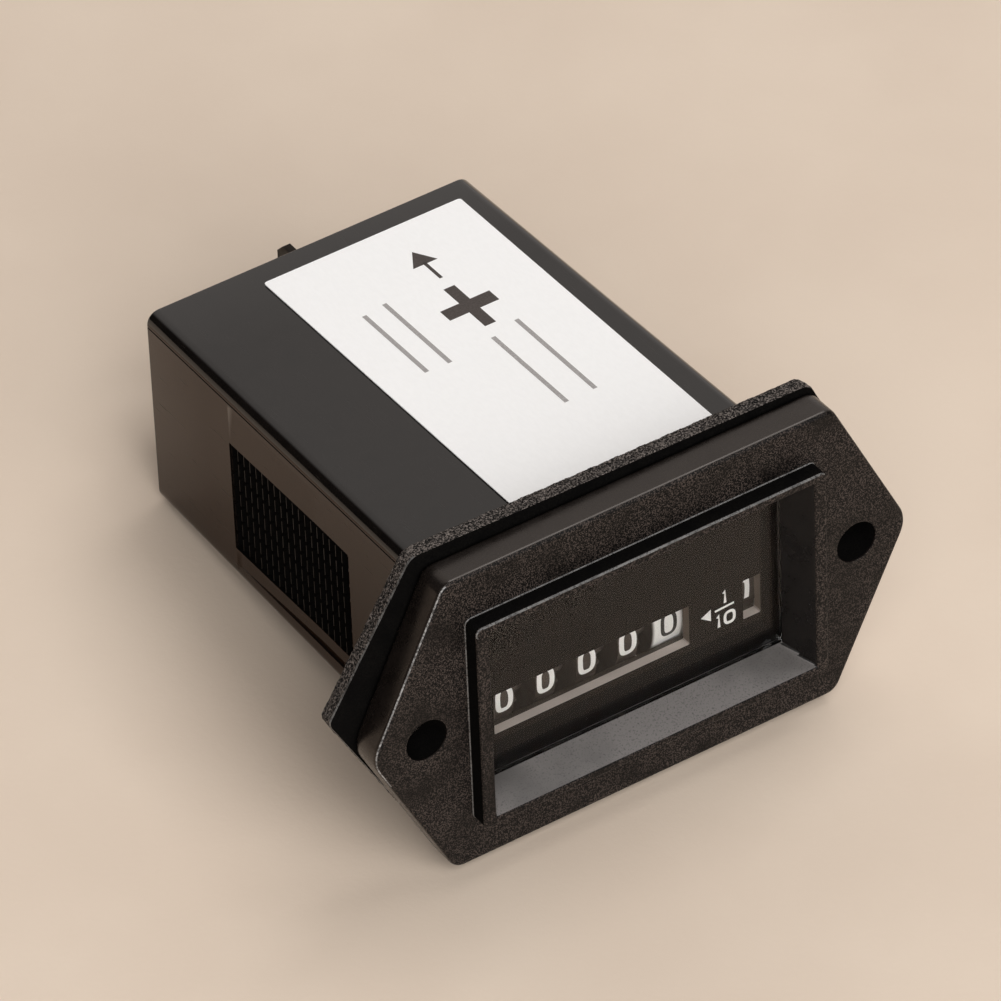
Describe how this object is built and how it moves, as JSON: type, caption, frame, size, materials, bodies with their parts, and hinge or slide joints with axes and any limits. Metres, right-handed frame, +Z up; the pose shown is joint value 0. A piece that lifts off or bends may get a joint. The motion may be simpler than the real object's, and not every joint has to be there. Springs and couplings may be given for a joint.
{
  "type": "hour meter",
  "caption": "Panel hour meter: a screw flange with a raised window frame over digit drums, turned by a geared stepping motor in a drafted case.",
  "frame": {"origin": "middle of the underside of the bounding box", "axes": "+Y from the window to the terminals, +Z up, +X to the right seen from the front"},
  "size_m": [0.0584, 0.0636, 0.034],
  "materials": {
    "black_grained_plastic": "fine grained, moulded",
    "black_gloss_plastic": "polished, moulded",
    "black_foam": "open foam",
    "clear_plastic": "clear, polished",
    "dial_black": "printed, satin",
    "label_paper": "coated paper",
    "drum_black": "satin, moulded",
    "frame_plastic": "satin, moulded",
    "gear_plastic": "satin, moulded",
    "steel": "bright, plain",
    "tinned_brass": "tinned, stamped",
    "copper_winding": "enamelled copper wire",
    "magnet_black": "sintered ferrite",
    "board_green": "lacquered laminate",
    "chip_black": "moulded",
    "resistor_tan": "lacquered",
    "capacitor_sleeve": "shrunk sleeve"
  },
  "bodies": {
    "meter": {"capacitor": "capacitor_sleeve", "case": "black_gloss_plastic", "circuit_board": "board_green", "coil_bobbin": "frame_plastic", "coil_core": "steel", "coil_winding": "copper_winding", "core_screw_lower": "steel", "core_screw_upper": "steel", "counter_frame": "frame_plastic", "crystal": "steel", "dial_plate": "dial_black", "diode": "chip_black", "driver_chip": "chip_black", "drum_axle": "steel", "first_arbor": "steel", "front_bezel": "black_grained_plastic", "gasket": "black_foam", "gear_plate_left": "tinned_brass", "gear_plate_right": "tinned_brass", "idler_arbor": "steel", "label": "label_paper", "lens": "clear_plastic", "pinion_axle": "steel", "plate_pillar_front": "tinned_brass", "plate_pillar_lower": "tinned_brass", "plate_pillar_upper": "tinned_brass", "resistor": "resistor_tan", "rotor_arbor": "steel", "second_arbor": "steel", "stator_plate": "steel", "terminal_negative": "tinned_brass", "terminal_positive": "tinned_brass"},
    "second_wheel": {"second_wheel": "gear_plastic"},
    "first_wheel": {"first_wheel": "gear_plastic"},
    "rotor": {"rotor_magnet": "magnet_black", "rotor_pinion": "gear_plastic"},
    "idler_gear": {"idler_gear": "gear_plastic"},
    "drum_tenths": {"drum_tenths": "drum_black"},
    "drum_units": {"drum_units": "drum_black"},
    "drum_tens": {"drum_tens": "drum_black"},
    "drum_hundreds": {"drum_hundreds": "drum_black"},
    "drum_thousands": {"drum_thousands": "drum_black"},
    "drum_ten_thousands": {"drum_ten_thousands": "drum_black"},
    "carry_pinion_1": {"carry_pinion_1": "gear_plastic"},
    "carry_pinion_2": {"carry_pinion_2": "gear_plastic"},
    "carry_pinion_3": {"carry_pinion_3": "gear_plastic"},
    "carry_pinion_4": {"carry_pinion_4": "gear_plastic"},
    "carry_pinion_5": {"carry_pinion_5": "gear_plastic"}
  },
  "joints": [
    {"name": "second_wheel_spin", "type": "hinge", "parent": "meter", "child": "second_wheel", "pos_m": [0.00901, -0.00474, 0.01328], "axis": [1, 0, 0], "continuous": true},
    {"name": "first_wheel_spin", "type": "hinge", "parent": "meter", "child": "first_wheel", "pos_m": [0.00761, 0.00179, 0.01632], "axis": [1, 0, 0], "continuous": true},
    {"name": "rotor_spin", "type": "hinge", "parent": "meter", "child": "rotor", "pos_m": [0.00761, 0.00888, 0.01757], "axis": [1, 0, 0], "continuous": true},
    {"name": "idler_gear_spin", "type": "hinge", "parent": "meter", "child": "idler_gear", "pos_m": [0.01041, -0.00953, 0.01153], "axis": [1, 0, 0], "continuous": true},
    {"name": "drum_tenths_spin", "type": "hinge", "parent": "meter", "child": "drum_tenths", "pos_m": [0.01466, -0.01899, 0.0132], "axis": [1, 0, 0], "continuous": true},
    {"name": "drum_units_spin", "type": "hinge", "parent": "meter", "child": "drum_units", "pos_m": [0.00636, -0.01899, 0.0132], "axis": [1, 0, 0], "continuous": true},
    {"name": "drum_tens_spin", "type": "hinge", "parent": "meter", "child": "drum_tens", "pos_m": [0.002, -0.01899, 0.0132], "axis": [1, 0, 0], "continuous": true},
    {"name": "drum_hundreds_spin", "type": "hinge", "parent": "meter", "child": "drum_hundreds", "pos_m": [-0.00236, -0.01899, 0.0132], "axis": [1, 0, 0], "continuous": true},
    {"name": "drum_thousands_spin", "type": "hinge", "parent": "meter", "child": "drum_thousands", "pos_m": [-0.00672, -0.01899, 0.0132], "axis": [1, 0, 0], "continuous": true},
    {"name": "drum_ten_thousands_spin", "type": "hinge", "parent": "meter", "child": "drum_ten_thousands", "pos_m": [-0.01108, -0.01899, 0.0132], "axis": [1, 0, 0], "continuous": true},
    {"name": "carry_pinion_1_spin", "type": "hinge", "parent": "meter", "child": "carry_pinion_1", "pos_m": [0.00801, -0.01535, 0.0195], "axis": [1, 0, 0], "continuous": true},
    {"name": "carry_pinion_2_spin", "type": "hinge", "parent": "meter", "child": "carry_pinion_2", "pos_m": [0.00365, -0.01535, 0.0195], "axis": [1, 0, 0], "continuous": true},
    {"name": "carry_pinion_3_spin", "type": "hinge", "parent": "meter", "child": "carry_pinion_3", "pos_m": [-0.00071, -0.01535, 0.0195], "axis": [1, 0, 0], "continuous": true},
    {"name": "carry_pinion_4_spin", "type": "hinge", "parent": "meter", "child": "carry_pinion_4", "pos_m": [-0.00507, -0.01535, 0.0195], "axis": [1, 0, 0], "continuous": true},
    {"name": "carry_pinion_5_spin", "type": "hinge", "parent": "meter", "child": "carry_pinion_5", "pos_m": [-0.00943, -0.01535, 0.0195], "axis": [1, 0, 0], "continuous": true}
  ],
  "couplings": [
    {"joint": "first_wheel_spin", "follows": "second_wheel_spin", "ratio": -5},
    {"joint": "rotor_spin", "follows": "second_wheel_spin", "ratio": 25},
    {"joint": "idler_gear_spin", "follows": "second_wheel_spin", "ratio": -0.41667},
    {"joint": "drum_tenths_spin", "follows": "second_wheel_spin", "ratio": 0.25},
    {"joint": "drum_units_spin", "follows": "second_wheel_spin", "ratio": 0.025},
    {"joint": "drum_tens_spin", "follows": "second_wheel_spin", "ratio": 0.0025},
    {"joint": "drum_hundreds_spin", "follows": "second_wheel_spin", "ratio": 0.00025},
    {"joint": "drum_thousands_spin", "follows": "second_wheel_spin", "ratio": 0.000025},
    {"joint": "drum_ten_thousands_spin", "follows": "second_wheel_spin", "ratio": 0.0000025},
    {"joint": "carry_pinion_1_spin", "follows": "second_wheel_spin", "ratio": -0.0625},
    {"joint": "carry_pinion_2_spin", "follows": "second_wheel_spin", "ratio": -0.00625},
    {"joint": "carry_pinion_3_spin", "follows": "second_wheel_spin", "ratio": -0.000625},
    {"joint": "carry_pinion_4_spin", "follows": "second_wheel_spin", "ratio": -0.0000625},
    {"joint": "carry_pinion_5_spin", "follows": "second_wheel_spin", "ratio": -0.00000625}
  ]
}
